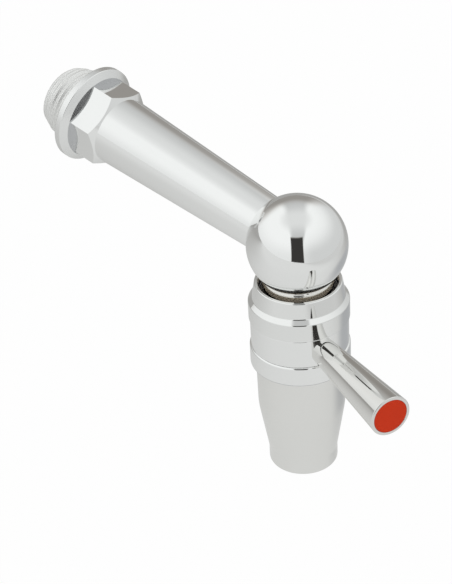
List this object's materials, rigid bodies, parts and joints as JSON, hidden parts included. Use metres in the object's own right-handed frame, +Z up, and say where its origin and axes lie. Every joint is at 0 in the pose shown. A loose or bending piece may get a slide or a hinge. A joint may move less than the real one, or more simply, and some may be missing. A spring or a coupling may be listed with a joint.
{
  "type": "basin tap",
  "caption": "Wall-mounted basin tap: tapered arm, ball elbow and hanging nozzle, with a side lever that turns a ring valve.",
  "frame": {"origin": "centre of the flange's back face, on the axis of the wall thread", "axes": "+Z up, the arm runs out level from the wall along -Y, the wall thread points along +Y, the body leans 12 degrees out from the wall below the ball"},
  "size_m": [0.0364, 0.1403, 0.0863],
  "materials": {
    "chrome": "polished",
    "red_plastic": "semi-gloss",
    "seal_rubber": "matt",
    "bare_brass": "turned",
    "valve_ceramic": "lapped",
    "pale_plastic": "moulded",
    "filter_steel": "bright"
  },
  "bodies": {
    "fixed_tap": {"wall_union": "chrome", "inlet_filter": "filter_steel", "spout_arm": "chrome", "arm_root_seal": "seal_rubber", "arm_tip_seal": "seal_rubber", "ball_elbow": "chrome", "neck_tail": "chrome", "neck_seal": "seal_rubber", "upper_collar": "chrome", "neck_gasket": "seal_rubber", "valve_body": "bare_brass", "disc_seal": "seal_rubber", "fixed_disc": "valve_ceramic", "thrust_washer": "pale_plastic", "rotor_retainer": "bare_brass", "nozzle": "chrome", "nozzle_gasket": "seal_rubber", "insert_gasket": "seal_rubber", "outlet_screen": "filter_steel", "flow_straightener": "pale_plastic"},
    "lever": {"lever_ring": "chrome", "upper_glide": "pale_plastic", "lower_glide": "pale_plastic", "lever_handle": "chrome", "lever_stud": "bare_brass", "indicator_cap": "red_plastic", "valve_rotor": "bare_brass", "moving_disc": "valve_ceramic", "rotor_oring": "seal_rubber"}
  },
  "joints": [
    {"name": "lever_turn", "type": "hinge", "parent": "fixed_tap", "child": "lever", "pos_m": [0, -0.08434, -0.02653], "axis": [0, 0.2079, 0.9781], "range_deg": [0, 90]}
  ]
}
